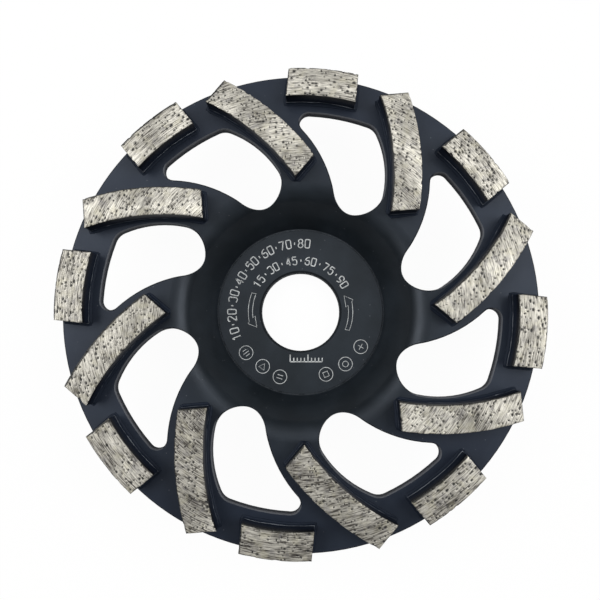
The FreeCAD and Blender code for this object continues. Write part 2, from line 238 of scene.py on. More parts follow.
def grain(place, millimetres, detail=3.0):
    """Inputs of a noise whose grains are this many millimetres across"""
    return {"Vector": place, "Scale": 1 / (millimetres * MM), "Detail": detail, "Roughness": 0.55}


def new_material(name):
    material = bpy.data.materials.new(name)
    material.use_nodes = True
    material.node_tree.nodes.clear()
    return material, material.node_tree


def finished(material, inputs):
    """The material with its shader, which has these inputs, on its output"""
    tree = material.node_tree
    add(tree, "OutputMaterial", [add(tree, "BsdfPrincipled", inputs)])
    return material


def coats(tree, colour, *layers):
    """A colour with others laid over it, each after the amount of it that shows"""
    for amount, above in layers:
        colour = add(tree, "Mix", (amount, colour, above), data_type="RGBA")
    return colour


def band(tree, value, low, high, soft):
    """1 between low and high, 0 outside, with soft sides"""
    rising = add(tree, "MapRange", (value, low - soft, low + soft), **SMOOTH)
    falling = add(tree, "MapRange", (value, high + soft, high - soft), **SMOOTH)
    return add(tree, "Math", (rising, falling), operation="MULTIPLY")


def ring(tree, radius, zone, soft):
    """1 in a zone of radii, 0 outside, with soft sides this many millimetres wide"""
    return band(tree, radius, zone[0] * MM, zone[1] * MM, soft * MM)


def beyond(tree, radius, zone):
    """0 on the bore's side of a zone of radii, 1 beyond it"""
    return add(tree, "MapRange", (radius, zone[0] * MM, zone[1] * MM), **SMOOTH)


def blotches(tree, place, millimetres, low, high, most=1.0):
    """Blotches of this size: 0 where their noise is under low, and most where it is over high"""
    noise = add(tree, "TexNoise", grain(place, millimetres))
    return add(tree, "MapRange", (noise, low, high, 0.0, most), **SMOOTH)


def along_turn(tree, radius, angle, share):
    """Places for a pattern that runs round the disc, as much longer as share is less than 1"""
    travel = add(tree, "Math", (angle, GRINDING_RADIUS * MM * share), operation="MULTIPLY")
    return add(tree, "CombineXYZ", (radius, travel))


def disc_places(tree):
    """Object place, and radius about the bore and height in metres, and angle round the bore"""
    place = add(tree, "TexCoord").outputs["Object"]
    parts = add(tree, "SeparateXYZ", [place]).outputs
    flat = add(tree, "VectorMath", (place, (1, 1, 0)), operation="MULTIPLY")
    radius = add(tree, "VectorMath", [flat], operation="LENGTH")
    angle = add(tree, "Math", (parts["Y"], parts["X"]), operation="ARCTAN2")
    return place, radius, parts["Z"], angle


def surface_normal(tree):
    """The mesh's own normal, and how far it points up"""
    normal = add(tree, "NewGeometry").outputs["True Normal"]
    return normal, add(tree, "SeparateXYZ", [normal]).outputs["Z"]


def satin_enamel_on_steel(settings, front):
    """Sprayed and stoved satin enamel over turned and cut sheet steel.

    It gives a smooth near-black skin with a blue cast that is partly painted reflection, soft
    broad gloss, faint orange peel, and paler brown-grey where the coat on the windows' cut
    walls is thinner. Painted shade darkens the foot of those walls, the dish's slope and the
    bevels that face out; painted highlights lighten the bevels that face the bore and the
    hub's turned edge.
    """
    material, tree = new_material("satin_enamel_on_steel")
    place, radius, height, angle = disc_places(tree)
    normal, facing_up = surface_normal(tree)

    # Tilt is 1 on flat faces, 0.71 on bevels, 0.5 on the dish's wall and 0 on upright walls
    tilt = add(tree, "Math", [facing_up], operation="ABSOLUTE")
    sideways = add(tree, "VectorMath", (normal, (1, 1, 0)), operation="MULTIPLY")
    outwards = add(tree, "VectorMath", (sideways, place), operation="DOT_PRODUCT")
    outwards = add(tree, "Math", (outwards, radius), operation="DIVIDE")
    to_bore = add(tree, "MapRange", (outwards, 0.05, -0.25), **SMOOTH)

    # Partly painted reflection: the enamel turns bluer towards the rim
    outward = beyond(tree, radius, BLUE_CAST_ZONE)
    # Painted shade: the dish's sloping wall takes the dark dish colour
    slope = band(tree, tilt, 0.40, 0.80, 0.10)
    inside = ring(tree, radius, DISH, 0.8)
    paint = coats(tree, settings.hub_paint,
                  (outward, settings.rim_paint),
                  (add(tree, "Math", (slope, inside), operation="MULTIPLY"), settings.dish_paint),
                  (blotches(tree, place, 11.0, 0.35, 0.75, 0.14), settings.haze))

    # Cut walls of the windows: upright shear marks about 0.5 mm apart, coated thinly, and painted
    # shade that turns them to the dark dish colour towards their foot
    upright = add(tree, "MapRange", (tilt, 0.30, 0.10), **SMOOTH)
    reach = ring(tree, radius, WINDOW_WALLS, 0.3)
    cut = add(tree, "Math", (upright, reach), operation="MULTIPLY")
    squeezed = add(tree, "VectorMath", (place, (1, 1, 0.12)), operation="MULTIPLY")
    shear = add(tree, "TexNoise", grain(squeezed, 0.5))
    shade = add(tree, "MapRange", (shear, 0.3, 0.75), **SMOOTH)
    deep = add(tree, "MapRange", (height, front - 0.4 * MM, front - 1.7 * MM), **SMOOTH)
    wall = coats(tree, settings.window_wall,
                 (shade, settings.wall_shade),
                 (deep, settings.dish_paint))

    # Bevels at the windows and the rim: a pale painted highlight where they face the bore, and painted
    # shade where they face out and on the bore's own bevel, which are also made duller
    windows = ring(tree, radius, WINDOW_BEVELS, 0.2)
    bevelled = add(tree, "Math", (windows, beyond(tree, radius, RIM_EDGE)), operation="MAXIMUM")
    bevel = add(tree, "Math", (band(tree, tilt, 0.64, 0.78, 0.03), bevelled), operation="MULTIPLY")
    # Painted highlight on the bevels that face the bore, painted shade on the others and the bore's
    # bevel
    painted_highlight = add(tree, "Math", (bevel, to_bore), operation="MULTIPLY")
    shaded_bevels = add(tree, "Math", (bevel, painted_highlight), operation="SUBTRACT")
    shaded_bevels = add(tree, "Math", (shaded_bevels, ring(tree, radius, BORE_BEVEL, 0.04)), operation="MAXIMUM")

    # Turned edge of the hub's face: a patchy painted highlight in pale steel grey
    patchy = blotches(tree, place, 1.6, 0.28, 0.62, 0.25)
    hub_edge_highlight = add(tree, "Math", (ring(tree, radius, HUB_EDGE, 0.05), patchy), operation="MULTIPLY")

    # Dust: pale specks about 0.25 mm across, one or two to the square centimetre
    cells = add(tree, "TexVoronoi", {"Vector": place, "Scale": 1 / (2.6 * MM)})
    speck = add(tree, "MapRange", (cells, 0.075, 0.04, 0.0, 0.22), **SMOOTH)
    colour = coats(tree, paint,
                   (add(tree, "Math", (cut, 0.9), operation="MULTIPLY"), wall),
                   (painted_highlight, settings.thin_bevel),
                   (add(tree, "Math", (shaded_bevels, 0.8), operation="MULTIPLY"), settings.pooled_bevel),
                   (hub_edge_highlight, settings.worn_edge),
                   (speck, settings.dust))

    # Orange peel everywhere, marks of the turning tool on the hub's face, shear marks on the walls
    peel = add(tree, "TexNoise", grain(place, settings.peel_size / MM, 1.5))
    tool_marks = add(tree, "TexNoise", grain(along_turn(tree, radius, angle, 0.011), 0.35, 2.0))
    turned = ring(tree, radius, HUB_FACE, 0.2)
    relief = 0.0
    for pattern, where, weight in ((peel, 1.0, 0.6), (tool_marks, turned, 0.35), (shear, cut, 2.5)):
        shown = add(tree, "Math", (pattern, where), operation="MULTIPLY")
        relief = add(tree, "Math", (shown, weight, relief), operation="MULTIPLY_ADD")

    uneven = add(tree, "TexNoise", grain(place, 5.0))
    gloss = add(tree, "MapRange", {"Value": uneven, "To Min": settings.roughness - 0.06,
                                   "To Max": settings.roughness + 0.08})
    dulled = add(tree, "Math", (shaded_bevels, cut), operation="MAXIMUM")
    return finished(material, {
        "Base Color": colour,
        "Roughness": add(tree, "Math", (dulled, 0.5, gloss), operation="MULTIPLY_ADD"),
        "Normal": add(tree, "Bump", {"Height": relief, "Strength": 0.35, "Distance": 0.03 * MM}),
        "Specular IOR Level": 0.42,
        "Specular Tint": settings.gloss_tint,
    })


def ground_diamond_bond(settings, top):
    """Sintered metal bond with diamond grit, ground flat by its work.

    It gives a pale warm grey face with fine scratches round the disc, dark holes
    where grit was lost, brown smears, and a ragged border where the enamel starts.
    """
    material, tree = new_material("ground_diamond_bond")
    place, radius, height, angle = disc_places(tree)
    streak, pit, tone = (add(tree, "Attribute", attribute_name=name).outputs["Fac"]
                         for name in ("streak", "pit", "tone"))

    # Scratches follow the turn: about 0.24 mm apart and 3 mm long
    fine = add(tree, "TexNoise", grain(along_turn(tree, radius, angle, 0.07), 0.24))
    scratches = add(tree, "MapRange", (fine, 0.32, 0.60), **SMOOTH)
    smears = blotches(tree, along_turn(tree, radius, angle, 0.35), 2.4, 0.52, 0.72)
    # The tone also carries painted shade on the faces of one side of the disc
    light = -0.30
    for pattern, weight in ((tone, 0.42), (streak, 0.30), (scratches, 0.70), (smears, -0.20)):
        light = add(tree, "Math", (pattern, weight, light), operation="MULTIPLY_ADD")

    # Grit that still stands in the bond: dull greenish grains about 0.3 mm across
    cells = add(tree, "TexVoronoi", {"Vector": place, "Scale": 1 / (0.85 * MM)})
    grains = add(tree, "MapRange", (cells, 0.22, 0.12), **SMOOTH)
    chance = add(tree, "SeparateColor", [cells.outputs["Color"]])
    some = add(tree, "MapRange", (chance, 0.55, 0.6, 0.0, 0.45), **SMOOTH)
    face = coats(tree, settings.dull_metal,
                 (light, settings.pale_metal),
                 (blotches(tree, place, 2.6, 0.48, 0.70, 0.40), settings.cream_patch),
                 (blotches(tree, place, 1.7, 0.52, 0.72, 0.42), settings.grey_patch),
                 (add(tree, "Math", (grains, some), operation="MULTIPLY"), settings.grit),
                 (pit, settings.pit))

    # Ragged border, up to which the enamel stays
    ragged = add(tree, "TexNoise", grain(place, 0.6))
    ragged = add(tree, "Math", (ragged, 0.22 * MM, top - 0.30 * MM), operation="MULTIPLY_ADD")
    above = add(tree, "Math", (height, ragged), operation="SUBTRACT")
    ground = add(tree, "MapRange", (above, -0.05 * MM, 0.05 * MM), **SMOOTH)
    bare = add(tree, "Math", (pit, -0.55, 0.55), operation="MULTIPLY_ADD")

    rough = add(tree, "TexNoise", grain(place, 0.35))
    relief = add(tree, "Math", (rough, 0.5, fine), operation="MULTIPLY_ADD")
    return finished(material, {
        "Base Color": coats(tree, settings.soot, (ground, face)),
        "Metallic": add(tree, "Math", (ground, bare), operation="MULTIPLY"),
        "Roughness": add(tree, "MapRange", {"Value": fine, "To Min": 0.36, "To Max": 0.56}),
        "Normal": add(tree, "Bump", {"Height": relief, "Strength": 0.5, "Distance": 0.04 * MM}),
        "Tangent": add(tree, "Tangent", direction_type="RADIAL", axis="Z"),
        "Anisotropic": 0.7,
        "Anisotropic Rotation": 0.25,
    })


def enamelled_sinter(settings, top):
    """Flanks of sintered metal bond as pressed, under the disc's sprayed enamel.

    It gives a rough dull skin, blue-black like the rim at the foot and near black
    towards the ground face.
    """
    material, tree = new_material("enamelled_sinter")
    place, _, height, _ = disc_places(tree)
    sinter = add(tree, "TexNoise", grain(place, 0.35))
    # Darker towards the top of the flank
    soot = add(tree, "MapRange", (height, top - 3.4 * MM, top - 0.8 * MM, 0.0, 0.80), **SMOOTH)
    return finished(material, {
        "Base Color": coats(tree, settings.flank, (soot, settings.soot)),
        "Roughness": add(tree, "MapRange", {"Value": sinter, "To Min": 0.45, "To Max": 0.65}),
        "Normal": add(tree, "Bump", {"Height": sinter, "Strength": 0.75, "Distance": 0.04 * MM}),
        "Specular IOR Level": 0.15,
    })


def enamelled_braze(settings, body, front):
    """Silver braze that wetted steel and bond, under the same sprayed enamel.

    It gives a smooth dark hollow at the foot of each segment, and a faint pale line of painted
    highlight along its upper edge, most of all along the short segments' inner flanks.
    """
    material, tree = new_material("enamelled_braze")
    place, radius, height, _ = disc_places(tree)
    _, facing_up = surface_normal(tree)
    # Painted highlight: a pale line on the bead's upward-facing upper edge, strongest on the short
    # segments' inner flanks
    inner_flank = ring(tree, radius, SHORT_INNER_FLANKS, 0.1)
    painted_highlight = add(tree, "Math", (inner_flank, 0.55, 0.2), operation="MULTIPLY_ADD")
    for limit in (add(tree, "MapRange", (facing_up, 0.7, 0.95), **SMOOTH),
                  add(tree, "MapRange", (height, front + 0.2 * MM, front + 0.4 * MM), **SMOOTH),
                  blotches(tree, place, 2.4, 0.25, 0.6)):
        painted_highlight = add(tree, "Math", (painted_highlight, limit), operation="MULTIPLY")
    lumps = add(tree, "TexNoise", grain(place, 0.5))
    return finished(material, {
        "Base Color": coats(tree, settings.paint, (painted_highlight, body.worn_edge)),
        "Roughness": 0.6,
        "Normal": add(tree, "Bump", {"Height": lumps, "Strength": 0.4, "Distance": 0.05 * MM}),
        "Specular IOR Level": 0.22,
        "Specular Tint": body.gloss_tint,
    })


def laser_marked_enamel(settings):
    """Enamel that a laser turned to pale grey ash: matt, and darker where it moved fast"""
    material, tree = new_material("laser_marked_enamel")
    place = add(tree, "TexCoord").outputs["Object"]
    dim = coats(tree, settings.colour, (0.45, settings.faint))
    dots = add(tree, "TexNoise", grain(place, 0.18))
    return finished(material, {
        "Base Color": coats(tree, dim, (blotches(tree, place, 0.9, 0.30, 0.72), settings.colour)),
        "Roughness": 0.8,
        "Normal": add(tree, "Bump", {"Height": dots, "Strength": 0.5, "Distance": 0.02 * MM}),
    })


def matt_white_card(settings):
    """Card rolled smooth, seen as white, that still takes a little of the disc's soft shadow"""
    material, tree = new_material("matt_white_card")
    place = add(tree, "TexCoord").outputs["Object"]
    fibres = add(tree, "TexNoise", grain(place, 3.0))
    faint = add(tree, "Math", (fibres, 0.03), operation="MULTIPLY")
    card = add(tree, "BsdfPrincipled", {
        "Base Color": coats(tree, settings.floor, (faint, settings.fibre)),
        "Roughness": 0.9,
        "Specular IOR Level": 0.1,
    })
    rays = add(tree, "LightPath").outputs
    seen = rays["Is Camera Ray"]
    for kind in ("Is Glossy Ray", "Is Transmission Ray"):
        seen = add(tree, "Math", (seen, rays[kind]), operation="MAXIMUM")
    white = add(tree, "Emission", (WHITE, 1.0))
    share = add(tree, "Math", (seen, settings.whiteness), operation="MULTIPLY")
    add(tree, "OutputMaterial", [add(tree, "MixShader", (share, card, white))])
    return material


# Meshes

def new_object(name, data):
    """An object in the scene that holds a mesh, a lamp or a camera"""
    made = bpy.data.objects.new(name, data)
    bpy.context.scene.collection.objects.link(made)
    return made


def make_piece(name, points, faces, material, smooth=True):
    """A mesh object from points in millimetres, riding on the disc"""
    mesh = bpy.data.meshes.new(name)
    mesh.from_pydata((numpy.asarray(points) * MM).tolist(), [], faces)
    mesh.validate()
    mesh.polygons.foreach_set("use_smooth", [smooth] * len(mesh.polygons))
    mesh.materials.append(material)
    piece = new_object(name, mesh)
    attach(piece, "root")
    return piece


def tube_faces(first, count, section, closed):
    """Faces between neighbouring sections of a tube, from its first point's number on"""
    faces = []
    for here in range(count if closed else count - 1):
        there = (here + 1) % count
        for side in range(section):
            after = (side + 1) % section
            faces.append((first + here * section + side, first + there * section + side,
                          first + there * section + after, first + here * section + after))
    return faces


def smooth_step(value, start, end):
    """0 up to start, 1 from end on, with a smooth rise between them"""
    share = numpy.clip((value - start) / (end - start), 0, 1)
    return share * share * (3 - 2 * share)


def lattice_noise(across, along, cell, seed):
    """Smooth values from 0 to 1 over two coordinates, with one random value to a cell's corner"""
    size = 512
    table = numpy.random.default_rng(seed).random((size, size))
    column, row = across / cell[0], along / cell[1]
    left, low = numpy.floor(column).astype(int), numpy.floor(row).astype(int)
    aside, up = smooth_step(column - left, 0, 1), smooth_step(row - low, 0, 1)
    west, east = (table[side % size, low % size] * (1 - up) + table[side % size, (low + 1) % size] * up
                  for side in (left, left + 1))
    return west * (1 - aside) + east * aside


class Bar:
    """One segment's place on the disc and its curved outline, in millimetres and radians"""

    def __init__(self, name, length, width, bend, distance, angle, turn):
        self.name, self.length, self.width, self.bend = name, length, width, bend
        self.distance, self.angle, self.turn = distance, angle, turn

    def onto_disc(self, along, across):
        """Disc coordinates of places along the chord and across from the inner to the outer face"""
        radius = self.bend + across
        aside = self.bend - numpy.sqrt(radius ** 2 - along ** 2)
        cosine, sine = math.cos(self.turn), math.sin(self.turn)
        x = self.distance * math.cos(self.angle) + along * cosine - aside * sine
        y = self.distance * math.sin(self.angle) + along * sine + aside * cosine
        return x, y

    def outline(self, step):
        """Points round the foot, anticlockwise on the disc, and the directions away from the bar"""
        half, side = self.length / 2, self.width / 2
        corners = numpy.array([(-half, side), (half, side), (half, -side), (-half, -side)])
        counts = (round(self.length / step), round(self.width / step)) * 2
        runs = [numpy.linspace(start, end, count, endpoint=False)
                for start, end, count in zip(corners, numpy.roll(corners, -1, 0), counts)]
        points = numpy.stack(self.onto_disc(*numpy.concatenate(runs).T), 1)
        way = numpy.roll(points, -1, 0) - numpy.roll(points, 1, 0)
        away = numpy.stack([way[:, 1], -way[:, 0]], 1)
        return points, away / numpy.linalg.norm(away, axis=1)[:, None]


def rim_front(disc):
    """Height of the rim's front face, which the segments stand on, in metres"""
    return disc.overall_height - disc.segment.height


def bars(disc):
    """The long and short segments' bars, in the order of their sectors"""
    segment = disc.segment
    edge = disc.diameter / MM / 2
    made = []
    for sector in range(disc.sectors):
        middle = disc.first_angle + sector * TURN / disc.sectors
        width = segment.width / MM
        angle = middle + segment.long_angle
        made.append(Bar(f"long_segment_{sector + 1}", segment.long_length / MM, width,
                        segment.long_bend / MM, edge - segment.long_inset / MM,
                        angle, angle + segment.long_lean))
        made.append(Bar(f"short_segment_{sector + 1}", segment.short_length / MM, width,
                        edge - width / 2, edge - width / 2, middle, middle + math.pi / 2))
    return made


# Spread across and along the turn, and depth, of the smallest and largest hole that grit left,
# and how many are tried on a square millimetre
SMALLEST_HOLE = (0.11, 0.12, 0.6)
LARGEST_HOLE = (0.25, 0.36, 1.4)
HOLES_TRIED = 1.25


def square_round(column, row, steps):
    """The part of a grid that lies up to this many steps from one of its points"""
    return (slice(max(column - steps, 0), column + steps + 1),
            slice(max(row - steps, 0), row + steps + 1))


def lost_grit(bar, radius, travel, seed):
    """How far each point lies in a hole that grit left, from 0 to 1

    The holes stay apart from each other, and are drawn out a little along the turn.
    """
    # Steps of the grid that are free of other holes round a new one, and that it can reach
    clear, widest = 2, 5
    columns, rows = radius.shape
    chance = numpy.random.default_rng(seed)
    crowd = lattice_noise(radius, travel, (2.2, 2.6), seed + 200)
    pit = numpy.zeros_like(radius)
    for _ in range(round(bar.length * bar.width * HOLES_TRIED)):
        column, row = chance.integers(columns), chance.integers(rows)
        wide, long, deep = chance.uniform(SMALLEST_HOLE, LARGEST_HOLE)
        taken = pit[square_round(column, row, clear)].max() > 0.25
        if chance.random() > smooth_step(crowd[column, row], 0.0, 0.8) or taken:
            continue
        near = square_round(column, row, widest)
        gap = numpy.hypot((radius[near] - radius[column, row]) / wide,
                          (travel[near] - travel[column, row]) / long)
        pit[near] = numpy.maximum(pit[near], numpy.clip(deep * (1.7 - gap), 0, 1))
    return pit


def ground_face(bar, top, settings, seed):
    """The ground face as grids along and across the bar: points, pit, streak and tone"""
    columns = round(bar.length * MM / settings.mesh_step) + 1
    rows = round(bar.width * MM / settings.mesh_step) + 1
    along = numpy.linspace(-bar.length / 2, bar.length / 2, columns)
    across = numpy.linspace(-bar.width / 2, bar.width / 2, rows)
    along, across = numpy.meshgrid(along, across, indexing="ij")
    x, y = bar.onto_disc(along, across)

    # Places in the noises: each segment has a stretch of its own along the turn
    radius = numpy.hypot(x, y)
    stretch = 200 + seed * 37
    travel = numpy.unwrap(numpy.arctan2(y, x) - bar.angle) * GRINDING_RADIUS + stretch
    pit = lost_grit(bar, radius, travel, seed)
    streak = (0.55 * lattice_noise(radius, travel, (0.34, 5.0), seed + 300)
              + 0.45 * lattice_noise(radius, travel, (0.19, 2.2), seed + 400))
    # Painted shade: faces towards the shaded side are darker, carried in the tone
    shaded_share = numpy.clip(math.cos(bar.angle - settings.clogged_side), 0, 1) ** 3
    tone = lattice_noise(radius, travel, (2.6, 5.5), seed + 500) - settings.clogging * shaded_share

    # Edges rounded by work, with chips along them
    to_end, to_flank = bar.length / 2 - abs(along), bar.width / 2 - abs(across)
    to_side = numpy.minimum(to_end, to_flank)
    chip = smooth_step(lattice_noise(radius, travel, (0.9, 0.9), seed + 600), 0.62, 0.9)
    reach = 0.14 + 0.30 * chip
    fallen = numpy.clip(1 - to_side / reach, 0, 1) ** 2
    drop = 0.02 + 0.02 * streak + 0.16 * pit + fallen * (0.12 + 0.38 * chip)
    pit = numpy.maximum(pit, smooth_step(fallen * chip, 0.15, 0.5) * 0.8)

    # Enamel left along the border, wider on the sides that face the way the disc leaned off
    facing = bar.turn + numpy.where(to_end < to_flank, numpy.where(along > 0, 0, math.pi),
                                    numpy.where(across > 0, -math.pi / 2, math.pi / 2))
    border = (0.02 + 0.26 * lattice_noise(radius, travel, (1.4, 1.4), seed + 100)
              + settings.spared / MM * numpy.clip(numpy.cos(facing - settings.lean), 0, 1) ** 2)
    pit = numpy.maximum(pit, smooth_step(border - to_side, 0.0, 0.2))
    return numpy.stack([x, y, top - drop], 2), pit, streak, tone


def segment_mesh(bar, foot, top, settings, seed):
    """Points, faces, how many faces the work grinds, and each point's pit, streak and tone"""
    face, pit, streak, tone = ground_face(bar, top, settings, seed)
    points = face.reshape(-1, 3)
    number = numpy.arange(len(points)).reshape(pit.shape)
    corners = [number[:-1, :-1], number[:-1, 1:], number[1:, 1:], number[1:, :-1]]
    faces = numpy.stack(corners, 2).reshape(-1, 4).tolist()

    # Flanks: rings of points from the face's border down to the foot, dented as pressed
    border = numpy.concatenate([number[:-1, -1], number[-1, ::-1][:-1], number[::-1, 0][:-1],
                                number[0, :-1]])
    ground_faces = len(faces) + len(border)
    levels, dent = 12, 0.09
    arc = numpy.arange(len(border)) * settings.mesh_step / MM
    middle = points[:, :2].mean(0)
    ring_above = border
    layers = [points]
    count = len(points)
    for level in range(1, levels + 1):
        share = level / levels
        low = points[border].copy()
        low[:, 2] = foot + (low[:, 2] - foot) * (1 - share)
        if level < levels:
            depth = numpy.full(len(arc), share * (top - foot))
            rough = lattice_noise(arc, depth, (0.5, 0.45), seed + 700)
            inward = middle - low[:, :2]
            inward /= numpy.linalg.norm(inward, axis=1)[:, None]
            low[:, :2] += inward * (dent * rough)[:, None]
        layers.append(low)
        fresh = numpy.arange(count, count + len(border))
        count += len(border)
        sides = [ring_above, fresh, numpy.roll(fresh, -1), numpy.roll(ring_above, -1)]
        faces += numpy.stack(sides, 1)[:, ::-1].tolist()
        ring_above = fresh
    faces.append(ring_above.tolist())
    values = {}
    for name, grid, below in (("pit", pit, 0.0), ("streak", streak, 0.5), ("tone", tone, 0.5)):
        values[name] = numpy.concatenate([grid.ravel(), numpy.full(count - grid.size, below)])
    return numpy.concatenate(layers), faces, ground_faces, values


def rim_under(place, tree, front):
    """Whether the rim's flat front lies straight under a place"""
    above, play = 0.5, 0.03
    start = Vector((place[0] * MM, place[1] * MM, (front + above) * MM))
    hit = tree.ray_cast(start, Vector((0, 0, -1)))[0]
    return hit is not None and hit.z > (front - play) * MM


def fillet_mesh(bar, front, settings, tree, seed):
    """A hollow bead of braze round one segment's foot, thin where the rim ends"""
    leg, rise, lip = settings.leg / MM, settings.rise / MM, settings.lip / MM
    spacing, probe, margin = 0.4, 0.15, 0.2
    foot, away = bar.outline(spacing)
    steps = numpy.arange(probe, leg + margin + probe, probe)

    # Room up to the rim's end at each point, smoothed so that the bead narrows little by little
    room = []
    for place, way in zip(foot, away):
        free = [step for step in steps if not rim_under(place + way * step, tree, front)]
        room.append(max(free[0] - margin, 0.0) if free else leg + 0.3)
    room = numpy.array(room)
    for _ in range(4):
        room = numpy.minimum(room, (numpy.roll(room, 1) + room + numpy.roll(room, -1)) / 3 + 0.05)
    arc = numpy.arange(len(foot)) * spacing
    wander = lattice_noise(arc, numpy.zeros(len(arc)), (3.5, 1.0), seed)
    reach = numpy.minimum(leg * (0.85 + 0.3 * wander), room)
    climb = rise * (0.8 + 0.4 * numpy.roll(wander, 5)) * numpy.clip(reach / (0.5 * leg), 0, 1)
    bulge = 0.2 + 1.6 * lattice_noise(arc, numpy.ones(len(arc)), (1.9, 1.0), seed)

    # Section: a sunk heel, a narrow lip, then a quarter hollow from the lip out to the rim
    sweep = numpy.linspace(0, math.pi / 2, 7)
    profile = [(-0.12, -0.05, 0.0), (-0.12, 0.0, 1.0)]
    section = len(sweep) + len(profile)
    points = []
    for place, way, out, up, thick in zip(foot, away, reach, climb, bulge):
        for inward, low, lift in profile:
            points.append((*(place + way * inward), front + low + lift * up))
        edge = min(lip * thick, out / 2)
        for turn in sweep:
            width = edge + (out - edge) * (1 - math.cos(turn))
            points.append((*(place + way * width), front + up * (1 - math.sin(turn))))
    faces = tube_faces(0, len(foot), section, True)
    return points, [(first, last, third, second) for first, second, third, last in faces]


# Laser marks on the hub's face

def rounded(points, closed):
    """The corners of a line cut twice, which rounds them as a laser's path runs"""
    points = [numpy.array(point, float) for point in points]
    for _ in range(2):
        after = points[1:] + points[:1] if closed else points[1:]
        cut = []
        for start, end in zip(points, after):
            cut += [start * 0.75 + end * 0.25, start * 0.25 + end * 0.75]
        points = cut if closed else [points[0]] + cut[1:-1] + [points[-1]]
    return points


def oval(x, y, across, up, corners=8):
    """Corners of a closed stroke round a place"""
    return [(x + across * math.cos(turn), y + up * math.sin(turn))
            for turn in numpy.linspace(0, TURN, corners + 1)[:-1]]


# Each numeral's strokes on a field one wide and two high, with True where a stroke closes on itself
NUMERALS = {
    "0": [([(0.5, 2), (1, 2), (1, 1), (1, 0), (0.5, 0), (0, 0), (0, 1), (0, 2)], True)],
    "1": [([(0.15, 1.6), (0.55, 2), (0.55, 1.9), (0.55, 0)], False)],
    "2": [([(0, 1.5), (0.05, 2), (0.95, 2), (1, 1.35), (0.5, 0.7), (0, 0.05)], False),
          ([(0, 0), (1, 0)], False)],
    "3": [([(0, 1.8), (0.3, 2), (0.95, 2), (0.95, 1.1), (0.4, 1.08)], False),
          ([(0.4, 1.08), (1.05, 1.1), (1, 0), (0.3, 0), (0, 0.2)], False)],
    "4": [([(0.75, 0), (0.75, 2)], False), ([(0.75, 2), (0, 0.6)], False),
          ([(0, 0.6), (1, 0.6)], False)],
    "5": [([(0.95, 2), (0.1, 2)], False), ([(0.1, 2), (0.05, 1.15)], False),
          ([(0.05, 1.1), (0.5, 1.4), (1.05, 1.2), (1, 0), (0.4, -0.05), (0, 0.25)], False)],
    "6": [([(0.9, 2), (0.3, 1.8), (0, 1.1), (0, 0.6)], False),
          ([(0.5, 1.15), (1, 1.1), (1, 0), (0, 0), (0, 1.1)], True)],
    "7": [([(0, 2), (1, 2)], False), ([(1, 2), (0.35, 0)], False)],
    "8": [(oval(0.5, 1.54, 0.46, 0.47), True), (oval(0.5, 0.52, 0.56, 0.57), True)],
    "9": [([(0.1, 0), (0.7, 0.2), (1, 0.9), (1, 1.4)], False),
          ([(0.5, 0.85), (0, 0.9), (0, 2), (1, 2), (1, 0.9)], True)],
}


def ribbon(strokes, width, top):
    """One flat ribbon for each stroke of places in millimetres, sunk into the face under it"""
    under = top - 0.06
    points, faces = [], []
    for places, closed in strokes:
        line = numpy.array(places, float)
        if closed:
            way = numpy.roll(line, -1, 0) - numpy.roll(line, 1, 0)
        else:
            way = numpy.gradient(line, axis=0)
        way /= numpy.linalg.norm(way, axis=1)[:, None]
        side = numpy.stack([-way[:, 1], way[:, 0]], 1) * width / 2
        first = len(points)
        for place, aside in zip(line, side):
            for edge, height in ((aside, top), (-aside, top), (-aside, under), (aside, under)):
                points.append((*(place + edge), height))
        faces += tube_faces(first, len(line), 4, closed)
        if not closed:
            last = len(points) - 4
            faces.append((first, first + 1, first + 2, first + 3))
            faces.append((last + 3, last + 2, last + 1, last))
    return points, faces


def polar_place(radius, degrees):
    angle = math.radians(degrees)
    return radius * math.cos(angle), radius * math.sin(angle)


def dial_numbers(numbers, radius, start, end, size):
    """Strokes of plain numbers that read clockwise along an arc, with a short tick between them"""
    strokes = []
    words = [str(number) for number in numbers]
    apart = (end - start) / (len(words) - 1)
    wide, pitch, tick = size * 0.55, size * 0.82, size * 0.14
    for index, word in enumerate(words):
        middle = start + apart * index
        for place, numeral in enumerate(word):
            shift = (place - (len(word) - 1) / 2) * pitch
            for shape, closed in NUMERALS[numeral]:
                path = rounded(shape, closed) if len(shape) > 2 else shape
                bent = []
                for x, y in path:
                    aside = shift + (x - 0.5) * wide
                    out = radius + (y - 1) * size / 2
                    bent.append(polar_place(out, middle - math.degrees(aside / radius)))
                strokes.append((bent, closed))
        if index < len(words) - 1:
            between = middle + apart / 2
            strokes.append(([polar_place(radius - tick, between),
                             polar_place(radius + tick, between)], False))
    return strokes


def rotation_arrow(turned):
    """Outline of one curved arrow that shows which way the disc turns, from radii and degrees"""
    shaft_out = [(14.75, angle) for angle in numpy.linspace(159, 191, 9)]
    head = [(15.2, 192.8), (13.1, 199.8), (12.9, 185.4), (13.6, 187.5)]
    shaft_in = [(13.55, angle) for angle in numpy.linspace(186, 158, 8)]
    return [polar_place(radius, angle + turned) for radius, angle in shaft_out + head + shaft_in]


